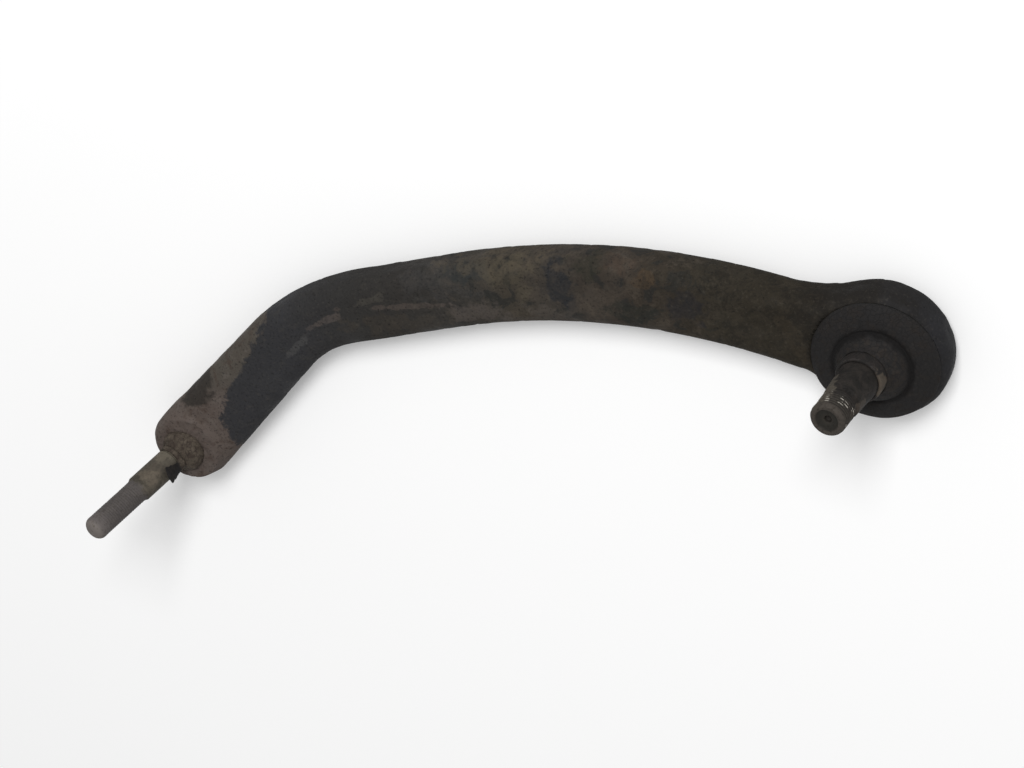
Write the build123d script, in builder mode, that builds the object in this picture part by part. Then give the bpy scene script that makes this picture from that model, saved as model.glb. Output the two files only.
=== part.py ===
"""Curved suspension control arm with a ball joint at each end.

One forged bar runs from a round outer head to a smaller inner socket.
Both studs stand up (+Z).  The origin is the centre of the flat underside
of the outer head, and the inner joint lies on -X.  Units: millimetres.
"""

import os
from math import acos, asin, cos, degrees, hypot, radians, sin, sqrt, tan

from build123d import *

# Driving dimensions of the forged bar

joint_distance = 356.0        # between the axes of the two ball joints
inner_run = 106.4             # from beside the inner joint to the first corner
inner_offset = 1.1            # centre line of the bar to the inner joint, towards +Y
inner_run_angle = 32.4        # degrees to X
middle_run = 154.4            # first corner to the second corner
middle_run_angle = 0.6        # the middle of the bar is almost parallel to X
arm_thickness = 23.0
arm_width_inner = 39.5        # at the inner socket
arm_width_middle = 33.0       # through the arch
arm_width_outer = 39.0        # where the bar runs into the head
bend_radius_long = 132.0      # first corner, long side of the bend
bend_radius_short = 54.0      # first corner, short side of the bend
straight_at_head = 50.9       # the arch ends this far from the head's centre
edge_round = 9.0              # rounding of the bar's long edges
end_overhang = 16.5           # bar past the inner joint's axis
end_corner_far = 10.0         # corner radii of that end, seen from above
end_corner_near = 16.0

# Outer joint: head and spigot by height over the underside, mouth from the ball's centre

outer_head_radius = 31.7
head_root_far = 60.0          # hollow between bar and head, far side
head_root_near = 8.0          # the same on the near side
outer_ball_radius = 11.5
outer_seat_radius = 14.5
outer_cover_radius = 17.5
outer_floor_gap = 1.1         # under the ball
outer_seat_lip = 6.2          # the seat grips the ball up to here over its centre
outer_mouth_radius = 10.1
outer_mouth_flare = 2.1
shoulder_radius = 30.0        # turned shoulder that the boot sits on
shoulder_height = 21.0
spigot_radius = 21.0          # round boss that carries the boot
spigot_top = 24.6
spigot_groove = 0.6
spigot_groove_height = 22.4

# Outer stud, lengths from the ball's centre

outer_stud_lean = 7.6         # the stud leans by this from +Z, as it was left
outer_lean_heading = 155.0    # direction of that lean, seen from above
outer_neck_radius = 6.2
outer_neck_end = 10.5
outer_ring_seat_radius = 9.2  # the neck ring sits on this
outer_ring_seat_start = 13.8
outer_ring_seat_end = 23.2
outer_taper_end_radius = 8.3
outer_thread_start = 40.5
outer_stud_length = 56.0
outer_thread_radius = 8.0     # M16
tip_dish_radius = 4.4
tip_dish_depth = 1.2
centre_drill_radius = 1.5
centre_drill_depth = 3.4

# Inner ball joint, lengths from the ball's centre

inner_ball_radius = 10.0
inner_seat_radius = 12.4
inner_cover_radius = 14.6
inner_floor_gap = 0.8
inner_seat_lip = 5.5
inner_mouth_radius = 8.6
inner_mouth_flare = 1.0
inner_barrel_radius = 18.0
inner_barrel_top = 11.5
inner_barrel_top_round = 7.0
inner_barrel_foot_round = 3.0
inner_barrel_lift = 0.2       # lowest point of the leaning barrel over the underside
inner_socket_tilt = 12.0      # the socket's axis leans by this from +Z
inner_stud_lean = 10.0        # the stud leans by this much more, as it was left
inner_lean_heading = 192.0    # direction of both, seen from above
inner_neck_radius = 5.9
inner_shank_radius = 6.6
inner_shank_start = 16.8
inner_shank_end = 38.5
inner_stud_length = 71.5
inner_thread_radius = 5.85    # M12
inner_tip_round = 3.0

# Small parts that both joints share

running_fit = 0.05
cover_thickness = 2.2
cover_recess = 0.6            # the cover's rim lies this deep in its counterbore
rolled_lip = 2.2              # lip of the housing over the cover
washer_thickness = 1.6
washer_width = 6.0
ball_flat_share = 0.82        # the ball's flat lies at this share of its radius
thread_relief = 0.9           # depth of the groove behind the thread
relief_length = 2.4
tip_chamfer = 1.2
same_place = 0.01             # corners closer than this are one

# Outer boot by height over the underside; its neck turns with the stud about the ball

soft_gap = 0.3                # rubber stays this far from its neighbours
boot_bead_width = 2.4
boot_bead_foot = 21.3
boot_roof_height = 23.5       # underside of the dome over the clamp
boot_skirt_foot = 21.4        # the skirt hangs round the clamp down to here
boot_skirt_edge = 28.2
boot_skirt_radius = 28.8      # widest place
boot_skirt_middle = 22.3
boot_dome_edge = 27.7
boot_dome_height = 23.9
boot_dome_middle_radius = 23.0
boot_dome_middle_height = 26.3
boot_crease_radius = 16.8
boot_ball_radius = 19.9       # the neck is part of a sphere about the ball's centre
boot_neck_wall = 2.0
boot_neck_top_angle = 46.0    # from +Z to the upper end of the fixed part
neck_part_from_angle = 54.0   # from the stud to the foot of the part that leans
neck_part_to_angle = 38.0
neck_part_skin = 0.1          # that part is thicker by this, inside and outside
neck_part_height = 16.8       # from the ball's centre
neck_part_round = 0.9
neck_ring_wall = 1.4
neck_ring_foot = 14.8         # from the ball's centre
neck_ring_top = 22.7
clamp_wire_radius = 0.7

# Rag of the inner boot, lengths from the ball's centre

rag_bead_start = 14.2
rag_bead_end = 16.6
rag_bead_radius = 7.3
rag_flap_end = 24.6
rag_flap_wall = 1.3
rag_flap_gap = 0.2            # between flap and shank
rag_flap_heading = -107.0     # middle of the flap about the stud
rag_flap_angle = 64.0

# Derived places

outer_ball_height = (
    cover_recess + cover_thickness + washer_thickness + outer_floor_gap + outer_ball_radius
)
inner_floor = inner_ball_radius + inner_floor_gap + cover_thickness + cover_recess
barrel_foot_radius = inner_barrel_radius - inner_barrel_foot_round
inner_ball_height = (
    (inner_floor - inner_barrel_foot_round) * cos(radians(inner_socket_tilt))
    + barrel_foot_radius * sin(radians(inner_socket_tilt))
    + inner_barrel_foot_round
    + inner_barrel_lift
)

outer_centre = Vector(0, 0, outer_ball_height)
inner_centre = Vector(-joint_distance, 0, inner_ball_height)


def leaning(angle, heading):
    """Unit vector that leans by an angle from +Z, towards a heading seen from above."""
    tilt = radians(angle)
    turn = radians(heading)
    return Vector(sin(tilt) * cos(turn), sin(tilt) * sin(turn), cos(tilt))


outer_axis = Vector(0, 0, 1)
outer_stud_axis = leaning(outer_stud_lean, outer_lean_heading)
socket_axis = leaning(inner_socket_tilt, inner_lean_heading)
inner_axis = leaning(inner_socket_tilt + inner_stud_lean, inner_lean_heading)


def section_plane(centre, direction, turn=0.0):
    """Plane through an axis, turned about it: X is the radius, Y runs along the axis."""
    side = direction.cross(Vector(1, 0, 0)).normalized()
    radial = side * cos(radians(turn)) + direction.cross(side) * sin(radians(turn))
    return Plane(origin=centre, x_dir=radial, z_dir=radial.cross(direction))


outer_section = section_plane(outer_centre, outer_axis)
outer_stud_section = section_plane(outer_centre, outer_stud_axis)
socket_section = section_plane(inner_centre, socket_axis)
inner_section = section_plane(inner_centre, inner_axis)
outer_turn = Axis(outer_centre, outer_axis)
outer_stud_turn = Axis(outer_centre, outer_stud_axis)
socket_turn = Axis(inner_centre, socket_axis)
inner_turn = Axis(inner_centre, inner_axis)


def on_sphere(radius, height):
    """Radius of a sphere's section at a height over its centre."""
    return sqrt(radius**2 - height**2)


# Plan of the bar: three straight runs, joined by a bend and a long arch

start = Vector(-joint_distance, -inner_offset)
run_1 = Vector(cos(radians(inner_run_angle)), sin(radians(inner_run_angle)))
run_2 = Vector(cos(radians(middle_run_angle)), sin(radians(middle_run_angle)))
corner_1 = start + run_1 * inner_run
corner_2 = corner_1 + run_2 * middle_run
run_3 = (corner_2 * -1).normalized()
arch_turn = run_2.get_angle(run_3)
arch_radius = (corner_2.length - straight_at_head) / tan(radians(arch_turn / 2))


def left_of(run):
    """Unit vector to the left of a run."""
    return Vector(-run.Y, run.X)


def mitre(before, after):
    """From a corner of the centre line to the corner of an edge one unit to its left."""
    both = left_of(before) + left_of(after)
    return both * (2 / both.dot(both))


def bar_side(side):
    """Edge of the bar as four corner points; side is 1 for the left edge, -1 for the right."""
    half = side / 2
    first = start - run_1 * end_overhang + left_of(run_1) * half * arm_width_inner
    last = left_of(run_3) * half * arm_width_outer
    second = corner_1 + mitre(run_1, run_2) * half * arm_width_middle
    third = corner_2 + mitre(run_2, run_3) * half * arm_width_middle
    return [first, second, third, last]


left_side = bar_side(1)
right_side = bar_side(-1)

with BuildSketch() as bar_plan:
    with BuildLine():
        FilletPolyline(*left_side, radius=[bend_radius_long, arch_radius + arm_width_middle / 2])
        FilletPolyline(*right_side, radius=[bend_radius_short, arch_radius - arm_width_middle / 2])
        Line(left_side[0], right_side[0])
        Line(left_side[-1], right_side[-1])
    make_face()
    end_corners = bar_plan.vertices().sort_by_distance((-2 * joint_distance, -joint_distance))[:2]
    near_corner, far_corner = end_corners.sort_by(Axis.Y)
    fillet(far_corner, end_corner_far)
    fillet(near_corner, end_corner_near)
    Circle(outer_head_radius)
    roots = bar_plan.vertices().filter_by(
        lambda corner: abs(hypot(corner.X, corner.Y) - outer_head_radius) < same_place
    )
    near_root, far_root = roots.filter_by(lambda corner: corner.X < 0).sort_by(Axis.Y)
    fillet(far_root, head_root_far)
    fillet(near_root, head_root_near)

# Forging: the bar with rounded edges, the turned shoulder and spigot for the boot
# and the inner barrel, bored from below for both ball joints

with BuildPart() as arm_forging:
    with BuildSketch():
        add(bar_plan.sketch)
    extrude(amount=arm_thickness)
    flat_edges = arm_forging.edges().group_by(Axis.Z)
    fillet(flat_edges[0] + flat_edges[-1], edge_round)

    with BuildSketch(Plane.XY.offset(shoulder_height)):
        Circle(shoulder_radius)
    extrude(amount=arm_thickness, mode=Mode.SUBTRACT)
    with BuildSketch(Plane.XZ):
        with BuildLine():
            Polyline(
                (0, arm_thickness / 2),
                (spigot_radius, arm_thickness / 2),
                (spigot_radius, spigot_groove_height - spigot_groove),
                (spigot_radius - spigot_groove, spigot_groove_height),
                (spigot_radius, spigot_groove_height + spigot_groove),
                (spigot_radius, spigot_top),
                (0, spigot_top),
                close=True,
            )
        make_face()
    revolve(axis=Axis.Z)

    with BuildSketch(socket_section):
        with BuildLine():
            outline = FilletPolyline(
                (0, -inner_floor),
                (inner_barrel_radius, -inner_floor),
                (inner_barrel_radius, inner_barrel_top),
                (0, inner_barrel_top),
                radius=[inner_barrel_foot_round, inner_barrel_top_round],
            )
            Line(outline @ 0, outline @ 1)
        make_face()
    revolve(axis=socket_turn)

    below = arm_thickness
    outer_top = spigot_top - outer_ball_height
    cover_face = cover_recess - outer_ball_height
    with BuildSketch(outer_section):
        with BuildLine():
            Polyline(
                (0, -below),
                (outer_cover_radius - rolled_lip, -below),
                (outer_cover_radius - rolled_lip, cover_face),
                (outer_cover_radius + running_fit, cover_face),
                (outer_cover_radius + running_fit, cover_face + cover_thickness),
                (outer_seat_radius + running_fit, cover_face + cover_thickness),
                (outer_seat_radius + running_fit, outer_seat_lip),
                (outer_mouth_radius, outer_seat_lip),
                (outer_mouth_radius + outer_mouth_flare, outer_top),
                (0, outer_top),
                close=True,
            )
        make_face()
    revolve(axis=outer_turn, mode=Mode.SUBTRACT)

    inner_cover_face = cover_recess - inner_floor
    with BuildSketch(socket_section):
        with BuildLine():
            Polyline(
                (0, -below),
                (inner_cover_radius - rolled_lip, -below),
                (inner_cover_radius - rolled_lip, inner_cover_face),
                (inner_cover_radius + running_fit, inner_cover_face),
                (inner_cover_radius + running_fit, inner_cover_face + cover_thickness),
                (inner_seat_radius + running_fit, inner_cover_face + cover_thickness),
                (inner_seat_radius + running_fit, inner_seat_lip),
                (inner_mouth_radius, inner_seat_lip),
                (inner_mouth_radius + inner_mouth_flare, inner_barrel_top),
                (0, inner_barrel_top),
                close=True,
            )
        make_face()
    revolve(axis=socket_turn, mode=Mode.SUBTRACT)
arm_forging.part.label = "arm_forging"

# Outer stud: ball, neck, shoulder for the ring, taper and thread with a dished tip

ball_foot = -ball_flat_share * outer_ball_radius
with BuildPart() as outer_ball_stud:
    with BuildSketch(outer_stud_section):
        ball_to_neck = on_sphere(outer_ball_radius, outer_neck_radius)
        relief_radius = outer_thread_radius - thread_relief
        relief_end = outer_thread_start + relief_length
        with BuildLine():
            ThreePointArc(
                (on_sphere(outer_ball_radius, ball_foot), ball_foot),
                (outer_ball_radius, 0),
                (outer_neck_radius, ball_to_neck),
            )
            Polyline(
                (outer_neck_radius, ball_to_neck),
                (outer_neck_radius, outer_neck_end),
                (outer_ring_seat_radius, outer_ring_seat_start),
                (outer_ring_seat_radius, outer_ring_seat_end),
                (outer_taper_end_radius, outer_thread_start),
                (relief_radius, outer_thread_start),
                (relief_radius, relief_end),
                (outer_thread_radius, relief_end + thread_relief),
                (outer_thread_radius, outer_stud_length - tip_chamfer),
                (outer_thread_radius - tip_chamfer, outer_stud_length),
                (tip_dish_radius, outer_stud_length),
                (centre_drill_radius, outer_stud_length - tip_dish_depth),
                (centre_drill_radius, outer_stud_length - centre_drill_depth),
                (0, outer_stud_length - centre_drill_depth),
                (0, ball_foot),
                (on_sphere(outer_ball_radius, ball_foot), ball_foot),
            )
        make_face()
    revolve(axis=outer_stud_turn)
outer_ball_stud.part.label = "outer_ball_stud"

# Inner stud: ball, slim neck, plain shank, a step down to the thread, domed tip

inner_ball_foot = -ball_flat_share * inner_ball_radius
with BuildPart() as inner_ball_stud:
    with BuildSketch(inner_section):
        inner_ball_to_neck = on_sphere(inner_ball_radius, inner_neck_radius)
        step = inner_shank_radius - inner_thread_radius
        with BuildLine():
            ThreePointArc(
                (on_sphere(inner_ball_radius, inner_ball_foot), inner_ball_foot),
                (inner_ball_radius, 0),
                (inner_neck_radius, inner_ball_to_neck),
            )
            Polyline(
                (inner_neck_radius, inner_ball_to_neck),
                (inner_neck_radius, inner_shank_start),
                (inner_shank_radius, inner_shank_start + step),
                (inner_shank_radius, inner_shank_end),
                (inner_thread_radius, inner_shank_end + 2 * step),
                (inner_thread_radius, inner_stud_length - inner_tip_round),
            )
            ThreePointArc(
                (inner_thread_radius, inner_stud_length - inner_tip_round),
                (
                    inner_thread_radius - inner_tip_round * (1 - sqrt(0.5)),
                    inner_stud_length - inner_tip_round * (1 - sqrt(0.5)),
                ),
                (inner_thread_radius - inner_tip_round, inner_stud_length),
            )
            Polyline(
                (inner_thread_radius - inner_tip_round, inner_stud_length),
                (0, inner_stud_length),
                (0, inner_ball_foot),
                (on_sphere(inner_ball_radius, inner_ball_foot), inner_ball_foot),
            )
        make_face()
    revolve(axis=inner_turn)
inner_ball_stud.part.label = "inner_ball_stud"


# Ball seats: sleeves with a spherical inside that grips the ball


def ball_seat(label, section, turn, ball_radius, seat_radius, lip, foot):
    """Turned seat, from its foot up to the lip that holds the ball."""
    inside = ball_radius + running_fit
    waist = -ball_flat_share * ball_radius
    with BuildPart() as seat:
        with BuildSketch(section):
            with BuildLine():
                ThreePointArc(
                    (on_sphere(inside, lip), lip),
                    (inside, 0),
                    (on_sphere(inside, waist), waist),
                )
                Polyline(
                    (on_sphere(inside, waist), waist),
                    (on_sphere(inside, waist), foot),
                    (seat_radius, foot),
                    (seat_radius, lip),
                    (on_sphere(inside, lip), lip),
                )
            make_face()
        revolve(axis=turn)
    seat.part.label = label
    return seat


outer_ball_seat = ball_seat(
    "outer_ball_seat",
    outer_section,
    outer_turn,
    outer_ball_radius,
    outer_seat_radius,
    outer_seat_lip,
    cover_face + cover_thickness + washer_thickness,
)
inner_ball_seat = ball_seat(
    "inner_ball_seat",
    socket_section,
    socket_turn,
    inner_ball_radius,
    inner_seat_radius,
    inner_seat_lip,
    inner_cover_face + cover_thickness + washer_thickness,
)

# Cover plates: discs under the rolled lip, with a centre that comes up flush with it


def cover_plate(label, centre, direction, foot, radius):
    """Disc square to a socket's axis, with its rim's outer face at a height over the ball."""
    with BuildPart() as cover:
        with BuildSketch(Plane(origin=centre + direction * foot, z_dir=direction)):
            Circle(radius)
        extrude(amount=cover_thickness)
        with BuildSketch(Plane(origin=centre + direction * (foot - cover_recess), z_dir=direction)):
            Circle(radius - rolled_lip - soft_gap)
        extrude(amount=cover_recess)
    cover.part.label = label
    return cover


outer_cover_plate = cover_plate(
    "outer_cover_plate", outer_centre, outer_axis, cover_face, outer_cover_radius
)
inner_cover_plate = cover_plate(
    "inner_cover_plate", inner_centre, socket_axis, inner_cover_face, inner_cover_radius
)

# Preload washers between each cover and its seat


def preload_washer(label, centre, direction, foot, radius):
    """Flat ring square to a socket's axis, with its foot at a height over the ball."""
    with BuildPart() as washer:
        with BuildSketch(Plane(origin=centre + direction * foot, z_dir=direction)):
            Circle(radius)
            Circle(radius - washer_width, mode=Mode.SUBTRACT)
        extrude(amount=washer_thickness)
    washer.part.label = label
    return washer


outer_preload_washer = preload_washer(
    "outer_preload_washer",
    outer_centre,
    outer_axis,
    cover_face + cover_thickness,
    outer_seat_radius,
)
inner_preload_washer = preload_washer(
    "inner_preload_washer",
    inner_centre,
    socket_axis,
    inner_cover_face + cover_thickness,
    inner_seat_radius,
)

# Outer boot: a bead on the spigot, a skirt round the clamp and a flat dome that rises to
# a spherical neck; the neck's upper part is turned about the leaning stud

bead_inside = spigot_radius + soft_gap
bead_outside = bead_inside + boot_bead_width
clamp_circle = bead_outside + soft_gap + clamp_wire_radius
skirt_inside = clamp_circle + clamp_wire_radius + soft_gap
neck_inside = outer_ring_seat_radius + running_fit + neck_ring_wall + soft_gap
neck_sphere = boot_ball_radius - boot_neck_wall
dome_foot = spigot_top + 2 * soft_gap


def polar(radius, angle, base=0.0):
    """Point of a circle at an angle in degrees from the axis, lifted by a base."""
    return (radius * sin(radians(angle)), base + radius * cos(radians(angle)))


with BuildPart() as outer_dust_boot:
    with BuildSketch(Plane.XZ):
        crease = degrees(asin(boot_crease_radius / boot_ball_radius))
        inner_crease = degrees(acos((dome_foot - outer_ball_height) / neck_sphere))
        with BuildLine():
            ThreePointArc(
                (boot_skirt_edge, boot_skirt_foot),
                (boot_skirt_radius, boot_skirt_middle),
                (boot_dome_edge, boot_dome_height),
            )
            ThreePointArc(
                (boot_dome_edge, boot_dome_height),
                (boot_dome_middle_radius, boot_dome_middle_height),
                polar(boot_ball_radius, crease, outer_ball_height),
            )
            ThreePointArc(
                polar(boot_ball_radius, crease, outer_ball_height),
                polar(boot_ball_radius, (crease + boot_neck_top_angle) / 2, outer_ball_height),
                polar(boot_ball_radius, boot_neck_top_angle, outer_ball_height),
            )
            Line(
                polar(boot_ball_radius, boot_neck_top_angle, outer_ball_height),
                polar(neck_sphere, boot_neck_top_angle, outer_ball_height),
            )
            ThreePointArc(
                polar(neck_sphere, boot_neck_top_angle, outer_ball_height),
                polar(neck_sphere, (inner_crease + boot_neck_top_angle) / 2, outer_ball_height),
                polar(neck_sphere, inner_crease, outer_ball_height),
            )
            Polyline(
                polar(neck_sphere, inner_crease, outer_ball_height),
                (bead_inside, dome_foot),
                (bead_inside, boot_bead_foot),
                (bead_outside, boot_bead_foot),
                (bead_outside, boot_roof_height),
                (skirt_inside, boot_roof_height),
                (skirt_inside, boot_skirt_foot),
                (boot_skirt_edge, boot_skirt_foot),
            )
        make_face()
    revolve(axis=Axis.Z)

    outside = boot_ball_radius + neck_part_skin
    inside = neck_sphere - neck_part_skin
    neck_foot = on_sphere(inside, neck_inside)
    neck_edge = degrees(asin(neck_inside / inside))
    with BuildSketch(outer_stud_section):
        with BuildLine():
            ThreePointArc(
                polar(outside, neck_part_from_angle),
                polar(outside, (neck_part_from_angle + neck_part_to_angle) / 2),
                polar(outside, neck_part_to_angle),
            )
            Polyline(
                polar(outside, neck_part_to_angle),
                (neck_inside + neck_part_round, neck_part_height),
                (neck_inside, neck_part_height),
                (neck_inside, neck_foot),
            )
            ThreePointArc(
                (neck_inside, neck_foot),
                polar(inside, (neck_part_from_angle + neck_edge) / 2),
                polar(inside, neck_part_from_angle),
            )
            Line(polar(inside, neck_part_from_angle), polar(outside, neck_part_from_angle))
        make_face()
    revolve(axis=outer_stud_turn)
outer_dust_boot.part.label = "outer_dust_boot"

with BuildPart() as outer_boot_clamp:
    with BuildSketch(Plane.XZ):
        with Locations((clamp_circle, spigot_groove_height)):
            Circle(clamp_wire_radius)
    revolve(axis=Axis.Z)
outer_boot_clamp.part.label = "outer_boot_clamp"

with BuildPart() as outer_neck_ring:
    foot_centre = outer_centre + outer_stud_axis * neck_ring_foot
    with BuildSketch(Plane(origin=foot_centre, z_dir=outer_stud_axis)):
        Circle(outer_ring_seat_radius + running_fit + neck_ring_wall)
        Circle(outer_ring_seat_radius + running_fit, mode=Mode.SUBTRACT)
    extrude(amount=neck_ring_top - neck_ring_foot)
    ring_edges = outer_neck_ring.edges().filter_by(GeomType.CIRCLE)
    fillet(ring_edges.group_by(outer_stud_turn)[-1].sort_by(SortBy.RADIUS)[-1], neck_ring_wall / 2)
outer_neck_ring.part.label = "outer_neck_ring"

# Rag of the inner boot: its neck bead, still on the stud, with a torn flap

flap_inside = inner_shank_radius + rag_flap_gap
with BuildPart() as inner_boot_scrap:
    with BuildSketch(inner_section):
        with BuildLine():
            Polyline(
                (inner_neck_radius + running_fit, rag_bead_start),
                (rag_bead_radius, rag_bead_start),
                (rag_bead_radius, rag_bead_end),
                (inner_neck_radius + running_fit, rag_bead_end),
                close=True,
            )
        make_face()
    revolve(axis=inner_turn)
    flap_edge = rag_flap_heading - rag_flap_angle / 2
    with BuildSketch(section_plane(inner_centre, inner_axis, flap_edge)):
        with BuildLine():
            Polyline(
                (flap_inside - rag_flap_gap, rag_bead_start),
                (rag_bead_radius, rag_bead_start),
                (flap_inside + rag_flap_wall, rag_bead_end),
                (flap_inside + rag_flap_wall, rag_flap_end),
                (flap_inside, rag_flap_end),
                (flap_inside, rag_bead_end - rag_flap_gap),
                close=True,
            )
        make_face()
    revolve(axis=inner_turn, revolution_arc=rag_flap_angle)
inner_boot_scrap.part.label = "inner_boot_scrap"

# One file per piece

pieces = [
    arm_forging,
    outer_ball_stud,
    outer_ball_seat,
    outer_preload_washer,
    outer_cover_plate,
    outer_dust_boot,
    outer_boot_clamp,
    outer_neck_ring,
    inner_ball_stud,
    inner_ball_seat,
    inner_preload_washer,
    inner_cover_plate,
    inner_boot_scrap,
]
os.makedirs("parts", exist_ok=True)
for piece in pieces:
    export_step(piece.part, f"parts/{piece.part.label}.step")
for label, centre, axis in (
    ("outer socket", outer_centre, outer_axis),
    ("outer stud", outer_centre, outer_stud_axis),
    ("inner socket", inner_centre, socket_axis),
    ("inner stud", inner_centre, inner_axis),
):
    print(label, [round(v, 4) for v in centre], [round(v, 5) for v in axis])
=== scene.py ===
# %% [markdown]
# # A forged suspension arm with a ball joint at each end
# The real part is one steel forging, about 39 cm long. A round head carries a big ball
# joint under a squat rubber boot, and a smaller joint sits in a barrel at the other end.
# It is a used one: oil, dust and rust cover it, and its small boot is torn off.
# The CAD model gives every size. This script gives the part its skin: a forging with
# blended forms, threads that are cut, rubber that folds, and the finishes of an old part.

import math

import bmesh
import bpy
import numpy as np
from mathutils import Matrix, Vector


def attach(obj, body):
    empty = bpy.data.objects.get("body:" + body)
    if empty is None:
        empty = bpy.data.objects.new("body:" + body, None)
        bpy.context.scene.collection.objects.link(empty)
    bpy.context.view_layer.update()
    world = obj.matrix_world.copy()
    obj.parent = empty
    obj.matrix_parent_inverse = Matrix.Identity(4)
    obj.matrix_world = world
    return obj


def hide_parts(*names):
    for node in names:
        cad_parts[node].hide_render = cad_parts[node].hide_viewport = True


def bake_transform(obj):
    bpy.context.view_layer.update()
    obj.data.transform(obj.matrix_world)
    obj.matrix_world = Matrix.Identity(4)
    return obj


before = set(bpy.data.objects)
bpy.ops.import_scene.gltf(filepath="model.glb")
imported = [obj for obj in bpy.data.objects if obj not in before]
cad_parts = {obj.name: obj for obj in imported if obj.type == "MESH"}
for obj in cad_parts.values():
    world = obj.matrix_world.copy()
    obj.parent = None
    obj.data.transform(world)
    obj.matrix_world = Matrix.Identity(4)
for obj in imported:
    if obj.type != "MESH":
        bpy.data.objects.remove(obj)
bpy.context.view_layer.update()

# %% [markdown]
# ## The camera
# The picture is taken from above and from the side of the studs, with a long lens, so that
# the arm hardly narrows with distance. The place was found by laying the model's outline
# over the object's. A matrix with the camera's right, up and back as columns sets it
# exactly, which three angles would do less clearly.

# %% Camera
MM = 0.001
camera_place = (482.33, 596.02, 1068.6)
camera_right = Vector((0.87046, -0.34221, -0.35383)).normalized()
camera_back = Vector((0.47964, 0.42807, 0.76596))
camera_back = (camera_back - camera_back.dot(camera_right) * camera_right).normalized()
camera_up = camera_back.cross(camera_right)
camera = bpy.data.objects.new("Camera", bpy.data.cameras.new("Camera"))
bpy.context.collection.objects.link(camera)
camera.matrix_world = Matrix.Translation(Vector(camera_place) * MM) @ Matrix(
    (camera_right, camera_up, camera_back)
).transposed().to_4x4()
camera.data.sensor_width = 36.0
camera.data.lens = 106.63
camera.data.dof.use_dof = False
camera.data.clip_end = 50.0
bpy.context.scene.camera = camera
print("camera looks along", [round(v, 3) for v in -camera_back])

# %% [markdown]
# ## Points, axes and noise
# Every piece here is a grid of points worked out by a formula. A few small helpers serve
# them all: a frame about a leaning axis, a rounder for the corners of a profile, and a
# smooth noise. The noise is random numbers on a lattice of cubes, blended between the
# corners, so a whole array of points gets its dents at once. Numbers are millimetres up
# to the mesh.


# %% Axes and noise
def leaning(angle, heading):
    """Unit vector that leans from +Z by an angle, towards a heading seen from above."""
    tilt, turn = math.radians(angle), math.radians(heading)
    return np.array(
        [math.sin(tilt) * math.cos(turn), math.sin(tilt) * math.sin(turn), math.cos(tilt)]
    )


def across(axis):
    """Two unit vectors that are square to an axis and to each other."""
    side = np.cross(axis, [1.0, 0.0, 0.0])
    side /= np.linalg.norm(side)
    return side, np.cross(axis, side)


def smooth(low, high, x):
    """0 at low, 1 at high, and 3t^2 - 2t^3 between them; low may be the larger."""
    t = np.clip((x - low) / (high - low), 0.0, 1.0)
    return t * t * (3.0 - 2.0 * t)


def noise(points, size, seed=0):
    """Lattice noise from 0 to 1: corner values of cubes of this size, blended by 3t^2 - 2t^3."""
    table = np.random.default_rng(seed).random(4096)
    scaled = np.asarray(points, float) / size
    cell = np.floor(scaled).astype(np.int64)
    t = scaled - cell
    t = t * t * (3.0 - 2.0 * t)
    total = np.zeros(scaled.shape[:-1])
    for corner in np.ndindex(2, 2, 2):
        spot = cell + np.array(corner)
        key = (spot[..., 0] * 73 + spot[..., 1] * 179 + spot[..., 2] * 283) % len(table)
        share = np.prod(np.where(np.array(corner) == 1, t, 1.0 - t), axis=-1)
        total += share * table[key]
    return total


# %% Rounded lines
def rounded(corners, radii, step):
    """Points every step along a line of corners, each turned by an arc of its own radius."""
    corners = [np.array(c, float) for c in corners]
    pieces, arcs, here = [], [], corners[0]
    for before, corner, after, radius in zip(corners, corners[1:], corners[2:], radii):
        a, b = before - corner, after - corner
        a, b = a / np.linalg.norm(a), b / np.linalg.norm(b)
        half = math.acos(np.clip(a @ b, -1.0, 1.0)) / 2.0
        middle = (a + b) / np.linalg.norm(a + b)
        reach = radius / math.tan(half)
        centre = corner + middle * radius / math.sin(half)
        first = (corner + a * reach - centre) / max(radius, 1e-9)
        sweep = math.pi - 2.0 * half
        onward = -a
        count = max(2, int(radius * sweep / step))
        turn = np.linspace(0.0, sweep, count + 1)[:, None]
        arc = centre + radius * (np.cos(turn) * first + np.sin(turn) * onward)
        pieces += [here, arc]
        arcs.append((arc[0], arc[len(arc) // 2], arc[-1]))
        here = arc[-1]
    line = np.vstack([np.atleast_2d(p) for p in pieces] + [corners[-1]])
    return spaced(line, step), arcs


def spaced(line, step=None, count=None):
    """The same line with points at even distances."""
    gaps = np.linalg.norm(np.diff(line, axis=0), axis=1)
    line = line[np.concatenate([[True], gaps > 1e-9])]
    length = np.concatenate([[0.0], np.cumsum(gaps[gaps > 1e-9])])
    count = count or max(2, int(round(length[-1] / step)) + 1)
    at = np.linspace(0.0, length[-1], count)
    return np.stack([np.interp(at, length, line[:, i]) for i in range(line.shape[1])], axis=1)


# %% [markdown]
# ## From a grid to a mesh
# A grid of points becomes quads between neighbours. Where the shape closes on itself the
# last column joins the first, and where it ends on an axis the equal points are merged,
# so there is no slit and no open pole. The volume is measured after that: it is positive
# only if the faces look outwards.


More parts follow.
